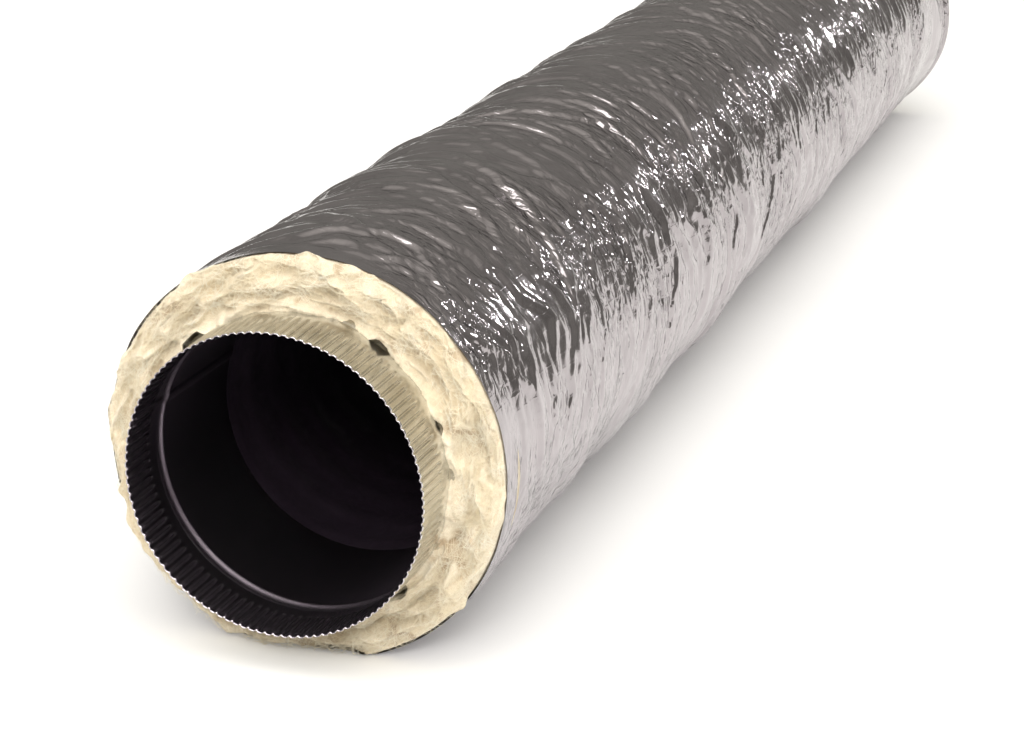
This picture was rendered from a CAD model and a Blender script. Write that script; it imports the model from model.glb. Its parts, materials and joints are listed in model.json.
"""Looks of the insulated flexible air duct: jacket film, glass wool, core film, wire and crimped collar.

Each long soft layer is one continuous surface, worked out over the whole duct and then cut halfway between
neighbouring joints. Each cut piece bends or stretches across the one joint that it spans.
"""

import json
import math

import bpy
import numpy as np
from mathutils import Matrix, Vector

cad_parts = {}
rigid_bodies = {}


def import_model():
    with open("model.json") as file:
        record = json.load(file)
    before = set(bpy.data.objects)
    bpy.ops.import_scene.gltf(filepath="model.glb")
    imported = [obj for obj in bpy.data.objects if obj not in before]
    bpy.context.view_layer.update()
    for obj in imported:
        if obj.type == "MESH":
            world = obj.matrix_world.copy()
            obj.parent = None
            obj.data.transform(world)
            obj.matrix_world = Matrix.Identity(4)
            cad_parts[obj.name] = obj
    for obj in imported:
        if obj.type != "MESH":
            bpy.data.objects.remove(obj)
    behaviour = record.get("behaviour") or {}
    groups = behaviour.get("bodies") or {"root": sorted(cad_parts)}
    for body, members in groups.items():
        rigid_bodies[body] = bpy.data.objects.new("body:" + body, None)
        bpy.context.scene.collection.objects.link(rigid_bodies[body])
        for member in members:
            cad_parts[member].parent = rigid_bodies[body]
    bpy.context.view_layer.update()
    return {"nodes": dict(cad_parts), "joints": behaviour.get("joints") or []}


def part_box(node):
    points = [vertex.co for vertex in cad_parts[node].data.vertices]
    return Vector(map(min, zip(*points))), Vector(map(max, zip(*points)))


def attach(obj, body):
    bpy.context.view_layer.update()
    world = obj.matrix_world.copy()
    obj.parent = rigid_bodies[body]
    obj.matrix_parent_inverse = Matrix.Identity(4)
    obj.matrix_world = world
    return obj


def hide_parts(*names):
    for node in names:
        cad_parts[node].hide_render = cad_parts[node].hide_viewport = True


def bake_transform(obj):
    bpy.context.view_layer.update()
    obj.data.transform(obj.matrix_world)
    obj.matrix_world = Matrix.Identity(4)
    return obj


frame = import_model()

MM = 0.001
FULL_TURN = 2 * math.pi

# ---------------------------------------------------------------- places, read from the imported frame

rim_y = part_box("collar")[0].y
far_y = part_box("jacket_12")[1].y
axis_z = (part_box("core_film_12")[0].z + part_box("core_film_12")[1].z) / 2
face_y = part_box("blanket_01")[0].y
core_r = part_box("core_film_12")[1].x
collar_end_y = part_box("collar")[1].y
blanket_out_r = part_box("blanket_12")[1].x
jacket_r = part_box("jacket_12")[1].x
LENGTHS = sum(1 for name in frame["nodes"] if name.startswith("jacket_"))
chain = [j for j in frame["joints"] if j["parent"] != "collar_end" or j["child"] != "clamp_worm"]
first_pivot_y = next(j for j in chain if j["type"] == "hinge")["pos_m"][1]
pitch = (far_y - face_y) / LENGTHS
pivots = [first_pivot_y + k * pitch for k in range(len(chain))]
cuts = [p + pitch / 2 for p in pivots[:-1]]


# ---------------------------------------------------------------- numbers: smooth noise and outlines

def smooth(t):
    """Fades 0 to 1 with no kink at either end."""
    t = np.clip(t, 0, 1)
    return t * t * t * (t * (6 * t - 15) + 10)


def fade(x, low, high):
    """0 below low, 1 above high, and smooth between."""
    return smooth((x - low) / (high - low))


def noise(u, v, around, seed):
    """Gradient noise from about -1 to 1. u is in turns, with around cells in each. v runs on."""
    v = v - v.min() + 1
    x, y = (u % 1.0) * around, v
    rows = int(y.max()) + 3
    angle = np.random.default_rng(seed).random((rows, around)) * FULL_TURN
    gx, gy = np.cos(angle), np.sin(angle)
    x0, y0 = np.floor(x).astype(int), np.floor(y).astype(int)
    fx, fy = x - x0, y - y0
    x0 = x0 % around
    wx, wy = smooth(fx), smooth(fy)

    def corner(dx, dy):
        i, j = y0 + dy, (x0 + dx) % around
        return gx[i, j] * (fx - dx) + gy[i, j] * (fy - dy)

    low = corner(0, 0) * (1 - wx) + corner(1, 0) * wx
    high = corner(0, 1) * (1 - wx) + corner(1, 1) * wx
    return (low * (1 - wy) + high * wy) * 1.5


def rough(u, v, around, seed, octaves=4, gain=0.5):
    """Noise with finer and finer detail."""
    total, size = 0, 1
    for k in range(octaves):
        total = total + size * noise(u, v * 2**k, around * 2**k, seed + k)
        size *= gain
    return total


def crease(n, sharpness):
    """Turns noise into narrow ridges along its zero lines."""
    return np.clip(1 - np.abs(n) * sharpness, 0, 1) ** 2


# ---------------------------------------------------------------- meshes

def mesh_object(name, points, faces, uv=None, normals=None):
    """A smooth object from arrays of points and faces. uv is one pair for each face corner."""
    mesh = bpy.data.meshes.new(name)
    points, faces = np.asarray(points, np.float32), np.asarray(faces, np.int32)
    sides = faces.shape[1]
    mesh.vertices.add(len(points))
    mesh.vertices.foreach_set("co", points.ravel())
    mesh.loops.add(faces.size)
    mesh.loops.foreach_set("vertex_index", faces.ravel())
    mesh.polygons.add(len(faces))
    mesh.polygons.foreach_set("loop_start", np.arange(0, faces.size, sides, dtype=np.int32))
    mesh.polygons.foreach_set("use_smooth", np.ones(len(faces), bool))
    mesh.update(calc_edges=True)
    if uv is not None:
        layer = mesh.uv_layers.new(name="duct")
        layer.data.foreach_set("uv", np.asarray(uv, np.float32).ravel())
    if normals is not None:
        mesh.normals_split_custom_set_from_vertices(np.asarray(normals, float).tolist())
    obj = bpy.data.objects.new(name, mesh)
    bpy.context.scene.collection.objects.link(obj)
    return obj


def grid_faces(rows, cols, wrap_rows=False):
    """Faces of a grid whose columns close into a ring, facing away from the duct's axis."""
    last = rows if wrap_rows else rows - 1
    r, c = np.meshgrid(np.arange(last), np.arange(cols), indexing="ij")
    r2, c2 = (r + 1) % rows, (c + 1) % cols
    return np.stack([r * cols + c, r2 * cols + c, r2 * cols + c2, r * cols + c2], -1).reshape(-1, 4)


def grid_uv(rows, cols, u_of_col, v_of_row, wrap_rows=False):
    """UV in metres for grid_faces: u round the duct, v along it."""
    last = rows if wrap_rows else rows - 1
    step = u_of_col[1] - u_of_col[0]
    r, c = np.meshgrid(np.arange(last), np.arange(cols), indexing="ij")
    u0, u1 = u_of_col[c], u_of_col[c] + step
    v0, v1 = v_of_row[r], v_of_row[(r + 1) % rows]
    return np.stack([np.stack(p, -1) for p in ((u0, v0), (u0, v1), (u1, v1), (u1, v0))], 2).reshape(-1, 2)


def grid_normals(points):
    """Normals of a grid of points whose columns close into a ring, facing away from the axis."""
    along = np.gradient(points, axis=0)
    around = np.roll(points, -1, axis=1) - np.roll(points, 1, axis=1)
    n = np.cross(along, around)
    return n / np.maximum(np.linalg.norm(n, axis=2, keepdims=True), 1e-12)


def ring_points(theta, r, y, foot_z=None):
    """Points at angle theta and radius r about the axis. Below foot_z they are pressed flat."""
    x, z = r * np.cos(theta), axis_z + r * np.sin(theta)
    if foot_z is not None:
        press = np.maximum(foot_z - z, 0)
        z = np.maximum(z, foot_z)
        x = x * (1 + 0.15 * press / 0.01)
    return np.stack([x, y + 0 * x, z], -1)


def body_of_length(i):
    return "collar_end" if i == 1 else f"length_{i:02d}"


def bend_piece(obj, k, layers):
    """Bends the piece across joint k (0 is the first) and lets it stand for its lengths of CAD."""
    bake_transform(obj)
    first = [1] if k == 0 else []
    for layer in layers:
        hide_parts(*[f"{layer}_{i:02d}" for i in first + [k + 2]])


def rows_between(y0, y1, step):
    """Row places from y0 to y1 that hit every cut between them exactly."""
    stops = [y0] + [c for c in cuts if y0 < c < y1] + [y1]
    rows = [np.linspace(a, b, max(2, round((b - a) / step) + 1))[:-1] for a, b in zip(stops, stops[1:])]
    return np.append(np.concatenate(rows), y1)


def split_layer(name, points, rows_y, theta, radius, material, layers, flip=False):
    """Cuts a whole-duct surface at the cuts between joints and makes one bending piece for each joint."""
    normals = grid_normals(points) * (-1 if flip else 1)
    bounds = [0] + [int(np.argmin(np.abs(rows_y - c))) for c in cuts] + [len(rows_y) - 1]
    made = []
    for k, (a, b) in enumerate(zip(bounds, bounds[1:])):
        part = points[a : b + 1]
        rows, cols = part.shape[:2]
        faces = grid_faces(rows, cols)
        uv = grid_uv(rows, cols, theta * radius, rows_y[a : b + 1])
        if flip:
            faces, uv = faces[:, ::-1], uv.reshape(-1, 4, 2)[:, ::-1].reshape(-1, 2)
        out = normals[a : b + 1].reshape(-1, 3)
        obj = mesh_object(f"{name}_{k + 1:02d}", part.reshape(-1, 3), faces, uv, out)
        obj.data.materials.append(material)
        bend_piece(obj, k, layers)
        made.append(obj)
    return made


# ---------------------------------------------------------------- materials

class Nodes:
    """Builds a material's nodes with short calls."""

    def __init__(self, name):
        self.material = bpy.data.materials.new(name)
        self.material.use_nodes = True
        self.tree = self.material.node_tree
        self.tree.nodes.clear()
        self.shader = self.tree.nodes.new("ShaderNodeBsdfPrincipled")
        out = self.tree.nodes.new("ShaderNodeOutputMaterial")
        self.tree.links.new(self.shader.outputs[0], out.inputs[0])

    def put(self, socket, value):
        if hasattr(value, "is_output"):
            self.tree.links.new(value, socket)
        elif value is not None:
            socket.default_value = value

    def node(self, kind, out=0, inputs=None, **settings):
        n = self.tree.nodes.new(kind)
        for key, value in settings.items():
            setattr(n, key, value)
        for key, value in (inputs or {}).items():
            self.put(n.inputs[key], value)
        return n.outputs[out]

    def math(self, operation, a, b=None, c=None):
        return self.node("ShaderNodeMath", inputs={0: a, 1: b, 2: c}, operation=operation)

    def position(self, scale=(1, 1, 1)):
        place = self.node("ShaderNodeTexCoord", out="Object")
        return self.node("ShaderNodeMapping", inputs={"Vector": place, "Scale": scale})

    def unrolled(self, scale=(1, 1, 1), rotation=(0, 0, 0)):
        place = self.node("ShaderNodeUVMap", uv_map="duct")
        return self.node("ShaderNodeMapping", inputs={"Vector": place, "Scale": scale, "Rotation": rotation})

    def noise(self, vector, scale, detail=4.0, roughness=0.5, distortion=0.0):
        inputs = {"Vector": vector, "Scale": scale, "Detail": detail}
        inputs.update({"Roughness": roughness, "Distortion": distortion})
        return self.node("ShaderNodeTexNoise", inputs=inputs, noise_type="FBM", normalize=True)

    def ramp(self, value, low, high, to_low=0.0, to_high=1.0):
        return self.node(
            "ShaderNodeMapRange",
            inputs={"Value": value, "From Min": low, "From Max": high, "To Min": to_low, "To Max": to_high},
            interpolation_type="SMOOTHSTEP",
        )

    def mixed_vector(self, vector, warp, amount=0.012):
        """The vector shifted a little by the colour of a noise."""
        inputs = {0: warp, 1: (amount, amount, 0)}
        moved = self.node("ShaderNodeVectorMath", inputs=inputs, operation="MULTIPLY")
        return self.node("ShaderNodeVectorMath", inputs={0: vector, 1: moved}, operation="ADD")

    def mix(self, factor, a, b):
        n = self.tree.nodes.new("ShaderNodeMix")
        n.data_type = "RGBA"
        self.put(n.inputs[0], factor)
        self.put(n.inputs[6], a)
        self.put(n.inputs[7], b)
        return n.outputs[2]

    def bump(self, height, distance, strength=1.0, under=None):
        inputs = {"Height": height, "Distance": distance, "Strength": strength}
        if under is not None:
            inputs["Normal"] = under
        return self.node("ShaderNodeBump", inputs=inputs)

    def surface(self, **sockets):
        for name, value in sockets.items():
            self.put(self.shader.inputs[name.replace("_", " ")], value)
        return self.material


def grey(v):
    return (v, v, v, 1)


def jacket_material():
    """Metallised film over a glass scrim: grey, glossy and finely crinkled, with the scrim in it."""
    m = Nodes("metallised_film")
    warp_inputs = {"Vector": m.unrolled(), "Scale": 45.0, "Detail": 2.0}
    warp = m.node("ShaderNodeTexNoise", inputs=warp_inputs, out="Color")
    heights = []
    for scale, stretch in ((62, 0.5), (160, 0.55)):
        slanted = m.mixed_vector(m.unrolled(scale=(stretch, 1.0, 1.0), rotation=(0, 0, 0.25)), warp)
        cells = {"Vector": slanted, "Scale": scale}
        edges = m.node("ShaderNodeTexVoronoi", inputs=cells, feature="DISTANCE_TO_EDGE", out="Distance")
        heights.append(edges)
    patches = m.ramp(m.noise(m.unrolled(), 7, detail=3), 0.36, 0.62, 0.08, 1.0)
    round_it = m.node("ShaderNodeSeparateXYZ", inputs={"Vector": m.unrolled()}, out="X")
    right_side = m.ramp(round_it, 0.145, 0.20, 1.0, 0.28)
    left_side = m.ramp(round_it, 0.27, 0.34, 0.28, 1.0)
    patches = m.math("MULTIPLY", patches, m.math("MAXIMUM", right_side, left_side))
    threads = []
    for turn in (0.0, math.pi / 2):
        wave = {"Vector": m.unrolled(rotation=(0, 0, turn)), "Scale": 31.4, "Distortion": 0.35, "Detail": 1.0}
        threads.append(m.ramp(m.node("ShaderNodeTexWave", inputs=wave, out="Fac"), 0.93, 1.0))
    scrim = m.math("MAXIMUM", *threads)
    film = m.bump(heights[0], 0.0042, strength=m.math("MULTIPLY", patches, 0.7))
    film = m.bump(heights[1], 0.0022, strength=m.math("MULTIPLY", patches, 0.7), under=film)
    film = m.bump(scrim, 0.00010, strength=0.3, under=film)
    dust = m.noise(m.unrolled(), 25, detail=5, roughness=0.6)
    colour = m.mix(m.ramp(dust, 0.3, 0.7), (0.385, 0.357, 0.372, 1), (0.46, 0.428, 0.444, 1))
    return m.surface(
        Base_Color=colour,
        Metallic=1.0,
        Roughness=m.ramp(dust, 0.25, 0.75, 0.12, 0.20),
        Normal=film,
    )


def wool_material():
    """Glass wool: cream, matted and fibrous, with darker tan hollows."""
    m = Nodes("glass_wool")
    swirl = m.noise(m.position(), 34, detail=4, roughness=0.55, distortion=1.6)
    fibre = m.noise(m.position(scale=(1, 2.2, 1)), 260, detail=5, roughness=0.65, distortion=3.5)
    blotch = m.noise(m.position(), 13, detail=3, roughness=0.5, distortion=0.8)
    cream = m.mix(m.ramp(blotch, 0.35, 0.65), (0.89, 0.775, 0.575, 1), (0.95, 0.865, 0.70, 1))
    cream = m.mix(m.ramp(fibre, 0.30, 0.70), (0.76, 0.65, 0.47, 1), cream)
    colour = m.mix(m.ramp(swirl, 0.28, 0.47), (0.57, 0.44, 0.29, 1), cream)
    fuzz = m.bump(fibre, 0.0013, strength=0.7)
    fuzz = m.bump(swirl, 0.0050, strength=0.5, under=fuzz)
    return m.surface(
        Base_Color=colour,
        Roughness=0.95,
        Normal=fuzz,
        Sheen_Weight=0.15,
        Sheen_Roughness=0.6,
        Specular_IOR_Level=0.1,
    )


def strand_material():
    """Single glass fibres, paler than the matted wool."""
    m = Nodes("wool_strand")
    tint = m.noise(m.position(), 60, detail=2)
    colour = m.mix(m.ramp(tint, 0.3, 0.7), (0.88, 0.78, 0.57, 1), (0.98, 0.93, 0.78, 1))
    return m.surface(Base_Color=colour, Roughness=0.7, Specular_IOR_Level=0.3, Sheen_Weight=0.4)


def galvanised_material(name, dull, bright, roughness, uneven=0.03):
    """Galvanised sheet with faint spangle and rolling marks. uneven is how much it changes the gloss."""
    m = Nodes(name)
    grains = {"Vector": m.position(), "Scale": 90.0, "Randomness": 1.0}
    spangle = m.node("ShaderNodeTexVoronoi", inputs=grains, out="Color")
    marks = m.noise(m.position(scale=(1, 0.08, 1)), 420, detail=2)
    haze = m.noise(m.position(), 30, detail=4)
    tone = m.mix(m.ramp(spangle, 0.2, 0.8), dull, bright)
    even = m.ramp(haze, 0.3, 0.7, roughness, roughness + 0.008)
    dullness = m.math("ADD", even, m.ramp(spangle, 0.0, 1.0, 0.0, uneven))
    rolled = m.bump(marks, 0.00004, strength=0.5)
    return m.surface(Base_Color=tone, Metallic=1.0, Roughness=dullness, Normal=rolled)


def metal_material(name, colour, roughness):
    """Plain sheet or wire metal with light brushing."""
    m = Nodes(name)
    brushing = m.noise(m.position(scale=(1, 12, 1)), 180, detail=3)
    dullness = m.ramp(brushing, 0.3, 0.7, roughness, roughness + 0.12)
    brushed = m.bump(brushing, 0.00003, strength=0.5)
    return m.surface(Base_Color=colour, Metallic=1.0, Roughness=dullness, Normal=brushed)


def core_material():
    """The thin dark film of the core, satin and slightly crinkled."""
    m = Nodes("core_film")
    crinkle = m.noise(m.unrolled(), 60, detail=4, roughness=0.6, distortion=1.0)
    return m.surface(
        Base_Color=(0.017, 0.0105, 0.018, 1),
        Roughness=m.ramp(crinkle, 0.3, 0.7, 0.5, 0.62),
        Normal=m.bump(crinkle, 0.0008, strength=0.5),
    )


def floor_material():
    """A pale floor that glows a little, so that the duct's shadow stays soft."""
    m = Nodes("pale_floor")
    haze = m.noise(m.position(), 3, detail=2)
    return m.surface(
        Base_Color=m.mix(m.ramp(haze, 0.2, 0.8), grey(0.86), grey(0.89)),
        Roughness=0.6,
        Specular_IOR_Level=0.2,
        Emission_Color=grey(1.0),
        Emission_Strength=0.10,
    )


# ---------------------------------------------------------------- jacket

def pull(a, b, rest, share):
    """Moves the paired points of a and b towards the rest distance between them."""
    d = b - a
    length = np.sqrt(np.einsum("...i,...i->...", d, d))
    d *= (0.5 * share * (1 - rest / length))[..., None]
    a += d
    b -= d


def relax(p, rest_along, rest_round, bend, steps):
    """Lets a film that is longer than its bed wrinkle on it. Each pass also turns the grid by one column."""
    before = p.copy()
    rows, cols = p.shape[:2]
    for step in range(steps):
        for _ in range(2):
            for odd in (0, 1):
                n = (rows - odd) // 2 * 2
                q, along = p[odd : odd + n], rest_along[odd : odd + n : 2]
                pull(q[0::2], q[1::2], along, 1.0)
                slant = np.hypot(along[:, 0::2], rest_round)
                pull(q[0::2, 0::2], q[1::2, 1::2], slant, 0.6)
                pull(q[1::2, 0::2], q[0::2, 1::2], slant, 0.6)
            pull(p[:, 0::2], p[:, 1::2], rest_round, 1.0)
            for start in (0, 2):
                n = (rows - start) // 4 * 4
                q = p[start : start + n].reshape(n // 4, 4, cols, 3)
                along = rest_along[start : start + n].reshape(n // 4, 4, cols)
                pull(q[:, :2], q[:, 2:], 2 * along[:, :2], bend)
            q = p.reshape(rows, cols // 4, 4, 3)
            pull(q[:, :, :2], q[:, :, 2:], 2 * rest_round, bend)
            p, before, rest_along = (np.roll(g, -1, axis=1) for g in (p, before, rest_along))
        x, z = p[..., 0], p[..., 2] - axis_z
        r = np.hypot(x, z)
        new = r + BED_PUSH * np.maximum(jacket_r - r, 0) - FILM_TENSION * np.maximum(r - jacket_r, 0)
        new = np.clip(new, jacket_r - DEEPEST, jacket_r + HIGHEST) / r
        p[..., 0] = x * new
        p[..., 2] = np.maximum(axis_z + z * new, FOOT_Z)
        p[0, :, 1], p[-1, :, 1] = face_y, far_y
        held = p.copy()
        if step < steps - 10:
            p += 0.6 * (p - before)
            p[..., 2] = np.maximum(p[..., 2], FOOT_Z)
        before = held
    return np.roll(p, 2 * steps, axis=1)


def between(p, axis):
    """Points halfway between neighbours along an axis, on a smooth curve through them. Columns wrap round."""
    if axis == 1:
        return (9 * (p + np.roll(p, -1, 1)) - np.roll(p, 1, 1) - np.roll(p, -2, 1)) / 16
    middle = (p[:-1] + p[1:]) / 2
    middle[1:-1] = (9 * (p[1:-2] + p[2:-1]) - p[:-3] - p[3:]) / 16
    return middle


def finer(p):
    """Doubles the grid both ways."""
    rows, cols = p.shape[:2]
    wide = np.empty((rows, cols * 2, 3), p.dtype)
    wide[:, 0::2], wide[:, 1::2] = p, between(p, 1)
    out = np.empty((rows * 2 - 1, cols * 2, 3), p.dtype)
    out[0::2], out[1::2] = wide, between(wide, 0)
    return out


BED_PUSH = 0.05
FILM_TENSION = 0.03
DEEPEST = 0.005
HIGHEST = 0.006
FOOT_Z = 0.0008
# Bending stiffness, passes, spare film along and round, size of the push that starts the folds, and its grain
FILM_LEVELS = [
    (1.0, 150, 0.030, 0.006, 0.0060, 0.080),
    (0.9, 50, 0.030, 0.007, 0.0008, 0.040),
    (0.8, 24, 0.031, 0.007, 0.0003, 0.016),
    (0.6, 10, 0.033, 0.007, 0.00012, 0.008),
]


def make_jacket(material):
    """The film wrinkles because there is more of it than the duct takes up, first coarsely, then finely."""
    rows, cols, p = 113, 56, None
    levels = FILM_LEVELS[: 4]
    for level, (bend, steps, spare_along, spare_round, push, grain) in enumerate(levels):
        if p is not None:
            p = finer(p)
            rows, cols = p.shape[:2]
        theta = np.arange(cols) / cols * FULL_TURN - math.pi / 2
        rows_y = np.linspace(face_y, far_y, rows)
        th, y = np.meshgrid(theta, rows_y)
        if p is None:
            p = ring_points(th, jacket_r, y).astype(np.float32)
        u = (th / FULL_TURN) % 1.0
        cells = max(4, int(FULL_TURN * jacket_r / (grain * 2.2)))
        out = np.stack([np.cos(th), 0 * th, np.sin(th)], -1)
        p = p + (out * (noise(u, y / grain, cells, 100 + level) * push)[..., None]).astype(np.float32)
        ends = fade(y - face_y, -0.01, 0.03) * fade(far_y - y, 0.0, 0.06)
        spare = spare_along * (1 + 0.8 * noise(u, y / 0.11, 6, 200 + level)) * ends
        rest_along = ((far_y - face_y) / (rows - 1) * (1 + spare)).astype(np.float32)
        rest_round = np.float32(FULL_TURN * jacket_r / cols * (1 + spare_round))
        p = relax(np.ascontiguousarray(p), rest_along, rest_round, bend, steps)
    from_front, from_far = y - face_y, far_y - y
    lumps = 3.6 * noise(u, y / 0.10, 4, 21) + 2.2 * noise(u, y / 0.055, 7, 22)
    slant = y / 0.042 + 1.5 * np.sin(FULL_TURN * u + 0.5) + 0.5 * noise(u, y / 0.08, 5, 24)
    lumps = lumps + 1.9 * noise(u, slant, 5, 23)
    x, z = p[..., 0], p[..., 2] - axis_z
    r = np.hypot(x, z)
    new = r + lumps * MM * fade(from_front, 0.0, 0.05)
    at_edge = 1 - fade(from_front, 0.004, 0.035)
    new = new * (1 - at_edge) + (jacket_r - 0.0002) * at_edge
    new = new + 4 * MM * (noise(u, 0 * u, 5, 85) + 0.7) * fade(-from_far, -0.10, 0.0)
    front_edge = 2.6 * noise(u, 0 * u, 9, 81) + 1.4 * noise(u, 0 * u, 31, 82) + 1.0
    far_edge = 14 * noise(u, 0 * u, 3, 83) + 5 * noise(u, 0 * u, 11, 84)
    shift = front_edge * fade(-from_front, -0.05, 0.0) + far_edge * fade(-from_far, -0.15, 0.0)
    points = np.stack([x * new / r, p[..., 1] + shift * MM, np.maximum(axis_z + z * new / r, FOOT_Z)], -1)
    slot, layers = "metallised_jacket", ["jacket"]
    return split_layer("jacket_film", points, rows_y, theta, jacket_r, material, layers)


# ---------------------------------------------------------------- blanket

def blanket_ring(name, outline, cols, material, shape=None):
    """A closed ring of wool. outline is a closed loop of (y, radius) rows; shape moves the points."""
    theta = np.arange(cols) / cols * FULL_TURN - math.pi / 2
    rows_y, rows_r = np.array(outline).T
    th, y = np.meshgrid(theta, rows_y)
    r = np.meshgrid(theta, rows_r)[1]
    if shape is not None:
        r, y = shape(th, r, y)
    points = ring_points(th, r, y, foot_z=0.0026 + 1.3 * wool_below(y))
    faces = grid_faces(len(rows_y), cols, wrap_rows=True)
    obj = mesh_object(name, points.reshape(-1, 3), faces)
    obj.data.materials.append(material)
    return obj


def wool_inner_r(y):
    """The wool's inner radius: a lip against the collar at its face, and wider over the clamp."""
    y = np.asarray(y, float)
    lip = fade(y, face_y - 0.008, face_y - 0.0035)
    over = 1 - fade(y, collar_end_y - 0.024, collar_end_y + 0.006)
    behind = fade(y, collar_end_y - 0.03, collar_end_y)
    return core_r - 0.0009 + 0.0009 * lip + 0.0018 * behind + 0.0045 * lip * over


def sheet_r(y):
    """Just under the outside of the collar's sheet, with its bead."""
    bead = np.clip(1 - ((y - rim_y - BEAD_MIDDLE) / (BEAD_W / 2)) ** 2, 0, 1)
    return collar_r - 0.0002 + BEAD_H * bead**1.5


WOOL_BELOW = 0.0058


def wool_below(y):
    """How far the wool keeps below the film: little at the ends, and well under its wrinkles between."""
    return WOOL_BELOW * fade(y, face_y + 0.02, face_y + 0.06) * (1 - fade(y, far_y - 0.06, far_y - 0.02))


def wool_outer_r(y):
    """The wool's outer radius: under the film's edge at the ends, and well under its wrinkles between."""
    return blanket_out_r - 0.0002 - wool_below(y)


LIP_L = 0.009


def wool_outline(y0, y1, step, face_rows):
    """Loop of (y, radius) rows: along the outside, across the far face, back inside, over the near face."""
    ys = np.linspace(y0, y1, max(3, int((y1 - y0) / step)))
    lip_y = y0 - LIP_L if y0 == face_y else y0
    inner_ys = np.concatenate([np.linspace(lip_y, y0, 8)[:-1], ys]) if lip_y < y0 else ys
    across = np.linspace(0, 1, face_rows)[1:-1]
    outside = [(y, float(wool_outer_r(y))) for y in ys]
    inside = [(y, float(wool_inner_r(y))) for y in inner_ys[::-1]]
    far_out, far_in = float(wool_outer_r(y1)), float(wool_inner_r(y1))
    near_out, near_in = float(wool_outer_r(y0)), float(wool_inner_r(lip_y))
    far_face = [(y1, far_out + (far_in - far_out) * t) for t in across]
    near_face = [
        (lip_y + (y0 - lip_y) * float(smooth(t * 2.2)), near_in + (near_out - near_in) * t) for t in across
    ]
    return outside + far_face + inside + near_face


def torn_face(edge_y, direction, seed):
    """Shape for a torn wool face at edge_y. direction is -1 for the collar's end and 1 for the far end."""
    def shape(theta, r, y):
        u = (theta / FULL_TURN) % 1.0
        near = fade((y - edge_y) * direction, -0.020, 0.0)
        share = np.clip((r - core_r) / (blanket_out_r - core_r), 0, 1)
        body = np.sin(np.pi * share)
        swirl = 0.022 * noise(u, share * 2.4, 13, seed + 5)
        bent = share * 2.0 + 0.4 * noise(u, share * 2, 16, seed + 8)
        lumps = 8.0 * noise(u + swirl, bent, 15, seed + 1)
        sheets = noise(u + 0.4 * swirl, share * 3.2 + 0.5 * noise(u, share * 3, 24, seed + 7), 21, seed + 2)
        folds = 7.5 * (1 - np.abs(sheets) * 2.0)
        tufts = 2.6 * noise(u + swirl, share * 6, 46, seed + 3)
        tufts = tufts + 1.1 * rough(u, share * 14, 110, seed + 4, octaves=3)
        pocket = 12.0 * fade(noise(u, share * 2.0, 17, seed + 9), 0.20, 0.60)
        pocket = pocket * (1 - fade(share, 0.05, 0.50))
        crevice = 7.0 * crease(noise(u + swirl, share * 2.6, 17, seed + 12), 6.0)
        crevice = crevice * fade(noise(u, share * 2, 9, seed + 13), -0.1, 0.4) * body
        rise = lumps * (0.3 + 0.7 * body) + folds * (0.35 + 0.65 * body) + tufts
        rise = rise + 1.5 * body - pocket - crevice - 2.0 + 3.5 * share**4
        y = y + direction * near * rise * MM
        gap = 5.0 * fade(noise(u, 0 * u, 23, seed + 10), 0.10, 0.50) * (1 - fade(share, 0.0, 0.25))
        ragged = 4.0 * noise(u, y / 0.010, 52, seed + 6) + 6.0 * noise(u, y / 0.02, 15, seed + 11) + 1.0
        ragged = ragged * (1.0 if direction < 0 else 0.2)
        free = fade((y - edge_y) * direction, -0.001, 0.003)
        edge = np.clip(share * 2 - 1, 0, 1) ** 3 * (ragged * free - 0.4)
        return np.maximum(r + near * (gap + edge + 0.5 * pocket) * MM, sheet_r(y)), y
    return shape


FIBRE_R = 0.00012


def wool_fibres(name, face_points, direction, count, body, material, seed):
    """Loose fibres that lie over a torn face and curl off it. face_points is a grid of points on the face."""
    rng = np.random.default_rng(seed)
    rows, cols = face_points.shape[:2]
    root = face_points[rng.integers(rows // 5, rows - 1, count), rng.integers(0, cols, count)]
    angle = np.arctan2(root[:, 2] - axis_z, root[:, 0])
    outward = np.stack([np.cos(angle), 0 * angle, np.sin(angle)], -1)
    around = np.stack([-np.sin(angle), 0 * angle, np.cos(angle)], -1)
    lean = rng.normal(0.0, 0.9, count)[:, None]
    way = around * np.cos(lean) + outward * np.sin(lean)
    side = around * -np.sin(lean) + outward * np.cos(lean)
    length = rng.uniform(0.006, 0.020, count)[:, None]
    lift = rng.uniform(0.0004, 0.0042, count)[:, None] * direction
    curl = rng.normal(0.0, 0.35, count)[:, None]
    steps, sides = 8, 3
    t = np.linspace(0, 1, steps)[:, None, None]
    forward = np.array([0.0, 1.0, 0.0])
    path = root + (t - 0.5) * length * way + curl * (t - 0.5) ** 2 * length * side
    path = path + np.sin(np.pi * t) * lift * forward
    path[..., 1] += direction * 0.0003
    off = np.hypot(path[..., 0], path[..., 2] - axis_z)
    grow = np.clip(off, core_r + 0.002, blanket_out_r + 0.001) / off
    path[..., 0] *= grow
    path[..., 2] = axis_z + (path[..., 2] - axis_z) * grow
    path[..., 2] = np.maximum(path[..., 2], FOOT_Z)
    turn = np.arange(sides) / sides * FULL_TURN
    thick = FIBRE_R * (0.4 + 0.6 * np.sin(np.pi * np.clip(t, 0.02, 0.98)))
    ring = np.stack([path + thick * (np.cos(a) * side + np.sin(a) * forward) for a in turn], 2)
    grid = ring.transpose(1, 0, 2, 3)
    base = np.arange(count)[:, None] * steps * sides
    faces = (grid_faces(steps, sides)[None] + base[..., None]).reshape(-1, 4)
    obj = mesh_object(name, grid.reshape(-1, 3), faces)
    obj.data.materials.append(material)
    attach(obj, body)
    return obj


FACE_ROWS = 44


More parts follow.
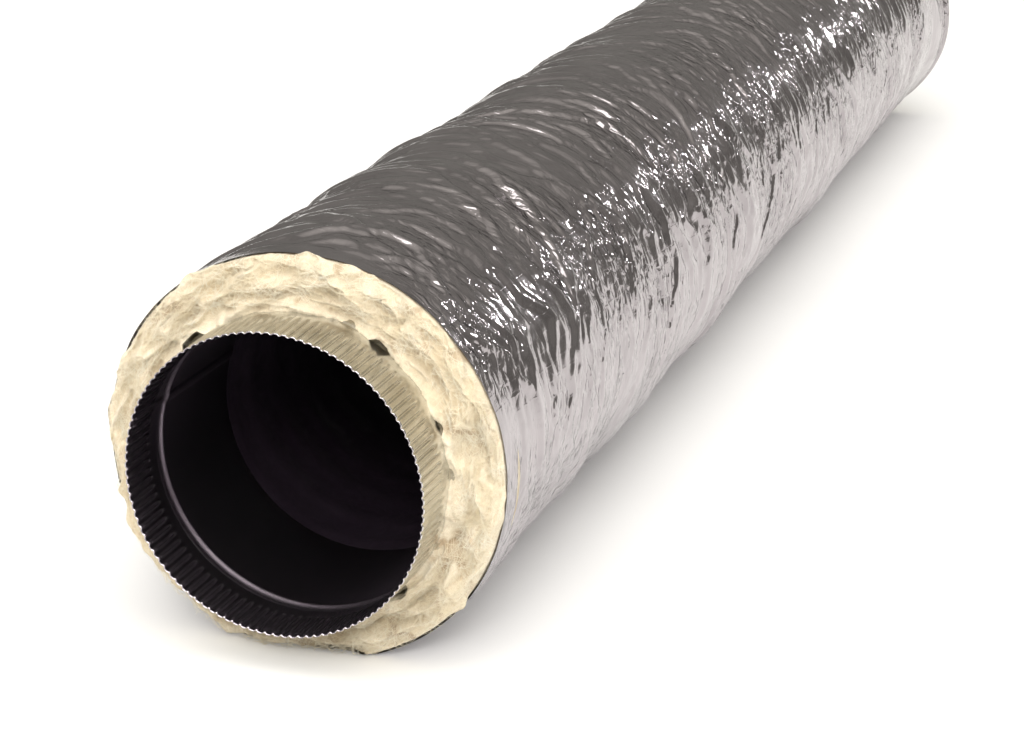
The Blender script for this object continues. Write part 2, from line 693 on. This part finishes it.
def points_of(obj):
    """The object's points as one flat array."""
    flat = np.empty(len(obj.data.vertices) * 3, np.float32)
    obj.data.vertices.foreach_get("co", flat)
    return flat.astype(float)


def make_blanket(material, strand):
    """The wool, one closed ring for each joint, torn at both ends of the duct and with loose fibres there."""
    edges = [face_y] + cuts + [far_y]
    for k, (y0, y1) in enumerate(zip(edges, edges[1:])):
        name = f"wool_blanket_{k + 1:02d}"
        if k == 0:
            cols = 1000
            outline = wool_outline(y0, y1, 0.0016, FACE_ROWS)
            obj = blanket_ring(name, outline, cols, material, torn_face(y0, -1, 500))
            face = points_of(obj).reshape(-1, cols, 3)[-(FACE_ROWS - 2) :]
            wool_fibres("wool_fibres_near", face, -1, 5000, "collar_end", strand, 700)
        elif k == len(edges) - 2:
            cols = 560
            outline = wool_outline(y0, y1, 0.0030, FACE_ROWS)
            obj = blanket_ring(name, outline, cols, material, torn_face(y1, 1, 600))
            first = sum(1 for y, r in outline[: len(outline) // 2] if y < y1) + 1
            face = points_of(obj).reshape(-1, cols, 3)[first : first + FACE_ROWS - 2]
            wool_fibres("wool_fibres_far", face, 1, 2500, body_of_length(LENGTHS), strand, 701)
        else:
            obj = blanket_ring(name, wool_outline(y0, y1, 0.008, 4), 180, material)
        bend_piece(obj, k, ["blanket"])


# ---------------------------------------------------------------- core film and wire

WIRE_PITCH = 0.038
WIRE_R = 0.0006


def make_core(material):
    """The core film: taut over the wire, hanging in slightly between its turns."""
    start = collar_end_y - 0.09
    theta = np.arange(180) / 180 * FULL_TURN - math.pi / 2
    rows_y = rows_between(start, far_y, 0.0030)
    th, y = np.meshgrid(theta, rows_y)
    phase = (y - rim_y) / WIRE_PITCH - th / FULL_TURN
    from_wire = np.abs((phase + 0.5) % 1.0 - 0.5)
    loose = fade(y, collar_end_y - 0.01, collar_end_y + 0.03)
    creased = noise(th / FULL_TURN % 1, y / 0.02, 30, 91)
    sag = loose * MM * (1.2 * fade(from_wire, 0.0, 0.5) + 0.8 * creased)
    points = ring_points(th, core_r - 0.0002 - np.maximum(sag, 0), y)
    slot, layers = "core_film", ["core_film"]
    return split_layer("core_film", points, rows_y, theta, core_r, material, layers, flip=True)


def make_wire(material):
    """The wire helix, one thin tube that winds round the core from the collar to the far end."""
    start, end = rim_y + 0.064, far_y - 0.004
    per_turn, sides = 72, 6
    total = int((end - start) / WIRE_PITCH * per_turn)
    t = np.arange(total + 1)
    y = start + t * WIRE_PITCH / per_turn
    turn = ((y - rim_y) / WIRE_PITCH) * FULL_TURN
    stops = [0] + [int((c - start) / WIRE_PITCH * per_turn) for c in cuts] + [total]
    section = np.arange(sides) / sides * FULL_TURN
    for k, (a, b) in enumerate(zip(stops, stops[1:])):
        th, s = np.meshgrid(section, turn[a : b + 1])
        rr = core_r + WIRE_R + 0.0001 + WIRE_R * np.cos(th)
        yy = y[a : b + 1, None] + WIRE_R * np.sin(th)
        points = ring_points(s, rr, yy)
        name = f"wire_helix_turns_{k + 1:02d}"
        obj = mesh_object(name, points.reshape(-1, 3), grid_faces(b - a + 1, sides))
        obj.data.materials.append(material)
        bend_piece(obj, k, ["wire_helix"])


# ---------------------------------------------------------------- collar

CRIMPS = 110
CRIMP_L = 0.036
CRIMP_DEPTH = 0.0021
SHEET = 0.00045
BEAD_MIDDLE = 0.049
BEAD_W = 0.011
BEAD_H = 0.0030
SEAM_ANGLE = math.radians(162)
collar_r = core_r - 0.0007


def collar_radius(theta, s, bead_h):
    """Radius of the sheet at angle theta, s metres from the rim."""
    wave = np.abs(((theta / FULL_TURN * CRIMPS) % 1.0) * 2 - 1)
    wave = smooth((wave - 0.35) / 0.6)
    depth = CRIMP_DEPTH * (1 - fade(s, CRIMP_L * 0.72, CRIMP_L)) * (0.45 + 0.55 * fade(s, 0, 0.005))
    taper = -0.0006 * (1 - fade(s, 0, CRIMP_L))
    bead = np.clip(1 - ((s - BEAD_MIDDLE) / (BEAD_W / 2)) ** 2, 0, 1)
    return collar_r + taper - depth * wave + bead_h * bead**1.5


def make_collar(outside_material, inside_material):
    """The crimped, beaded collar: outside, round the rim, and back along the inside."""
    cols = CRIMPS * 12
    theta = np.arange(cols) / cols * FULL_TURN
    length = collar_end_y - rim_y
    sleeve = np.linspace(length, 0.060, 10)
    bead = np.linspace(0.058, 0.040, 24)
    crimps = np.linspace(0.038, 0.0, 26)
    outside = np.concatenate([sleeve, bead, crimps])
    s = np.concatenate([outside, outside[::-1]])
    inward = np.concatenate([np.zeros(len(outside)), np.full(len(outside), SHEET)])
    th, ss = np.meshgrid(theta, s)
    thick = np.meshgrid(theta, inward)[1]
    r = collar_radius(th, ss, np.where(thick > 0, BEAD_H * 0.75, BEAD_H)) - thick
    seam = np.exp(-(((th - SEAM_ANGLE) * collar_r / 0.0035) ** 4))
    r = r - np.where(thick > 0, 0.0008 * seam * fade(ss, 0.002, 0.006), 0)
    wobble = 0.0001 * noise(th / FULL_TURN, ss / 0.05, 5, 95)
    nicks = 0.0003 * noise(th / FULL_TURN, 0 * ss, 60, 96) * (1 - fade(ss, 0, 0.004))
    points = ring_points(th, r + wobble, rim_y + ss + nicks)
    obj = mesh_object("crimped_collar", points.reshape(-1, 3), grid_faces(len(s), cols)[:, ::-1])
    obj.data.materials.append(outside_material)
    obj.data.materials.append(inside_material)
    side = np.repeat(np.arange(len(s) - 1) >= len(outside) - 1, cols).astype(np.int32)
    obj.data.polygons.foreach_set("material_index", side)
    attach(obj, "collar_end")
    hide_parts("collar")
    return obj


# ---------------------------------------------------------------- stage, light and camera

def make_stage():
    size = 30.0
    corners = [(-size, -size, 0), (size, -size, 0), (size, size, 0), (-size, size, 0)]
    floor = mesh_object("floor", corners, [[0, 1, 2, 3]])
    floor.data.materials.append(floor_material())


def area_light(name, place, aim, size, power, colour=(1, 1, 1)):
    light = bpy.data.lights.new(name, "AREA")
    light.shape = "RECTANGLE"
    light.size, light.size_y = size
    light.energy = power
    light.color = colour
    obj = bpy.data.objects.new(name, light)
    obj.location = place
    obj.rotation_euler = (Vector(aim) - Vector(place)).to_track_quat("-Z", "Y").to_euler()
    bpy.context.scene.collection.objects.link(obj)


def make_lights():
    world = bpy.data.worlds.new("studio")
    bpy.context.scene.world = world
    world.use_nodes = True
    tree = world.node_tree
    place = tree.nodes.new("ShaderNodeTexCoord")
    height = tree.nodes.new("ShaderNodeSeparateXYZ")
    ramp = tree.nodes.new("ShaderNodeValToRGB")
    stops = [(0.0, 0.36), (0.05, 0.27), (0.20, 0.20), (0.36, 0.30), (0.55, 0.27), (0.80, 0.54), (1.0, 0.76)]
    while len(ramp.color_ramp.elements) < len(stops):
        ramp.color_ramp.elements.new(0.5)
    for element, (at, value) in zip(ramp.color_ramp.elements, stops):
        element.position, element.color = at, (value, value * 0.965, value * 0.88, 1)
    tree.links.new(place.outputs["Generated"], height.inputs[0])
    tree.links.new(height.outputs["Z"], ramp.inputs[0])
    tree.links.new(ramp.outputs[0], tree.nodes["Background"].inputs["Color"])
    sun = bpy.data.lights.new("high_softbox", "SUN")
    sun.energy = 3.1
    sun.color = (1.0, 0.98, 0.945)
    sun.angle = math.radians(75)
    obj = bpy.data.objects.new("high_softbox", sun)
    obj.rotation_euler = Vector((-0.15, 0.55, -1.0)).to_track_quat("-Z", "Y").to_euler()
    bpy.context.scene.collection.objects.link(obj)
    area_light("far_strip", (2.6, 4.6, 2.1), (0, 0.2, 0.1), (0.36, 0.16), 14)
    area_light("front_fill", (0.7, -3.4, 1.9), (0, -0.85, 0.15), (1.0, 0.7), 29, (1.0, 0.985, 0.96))


def make_camera():
    data = bpy.data.cameras.new("camera")
    data.sensor_width = 36
    data.lens = 82.5
    data.clip_end = 100
    camera = bpy.data.objects.new("camera", data)
    yaw, pitch_down = math.radians(18.7), math.radians(18.5)
    camera.rotation_euler = (math.pi / 2 - pitch_down, 0, yaw)
    camera.location = (0.575, rim_y - 1.234, axis_z + 0.533)
    bpy.context.scene.collection.objects.link(camera)
    bpy.context.scene.camera = camera


# ---------------------------------------------------------------- the object

bpy.context.scene.view_settings.view_transform = "Standard"
make_camera()
make_stage()
make_lights()

jacket_pieces = make_jacket(jacket_material())
make_blanket(wool_material(), strand_material())
make_core(core_material())
make_wire(metal_material("spring_steel", (0.50, 0.50, 0.51, 1), 0.25))
make_collar(
    galvanised_material("galvanised_outside", (0.62, 0.62, 0.60, 1), (0.72, 0.72, 0.70, 1), 0.19),
    galvanised_material("galvanised_inside", (0.60, 0.55, 0.60, 1), (0.61, 0.56, 0.61, 1), 0.25, uneven=0.0),
)

for node, material in {
    "foil_tape": metal_material("aluminium_foil", (0.80, 0.80, 0.81, 1), 0.18),
    "clamp_band": metal_material("stainless_strip", (0.62, 0.62, 0.63, 1), 0.22),
    "clamp_housing": metal_material("stainless_pressing", (0.60, 0.60, 0.61, 1), 0.26),
    "clamp_screw": metal_material("zinc_screw", (0.58, 0.57, 0.55, 1), 0.20),
}.items():
    frame["nodes"][node].data.materials.clear()
    frame["nodes"][node].data.materials.append(material)
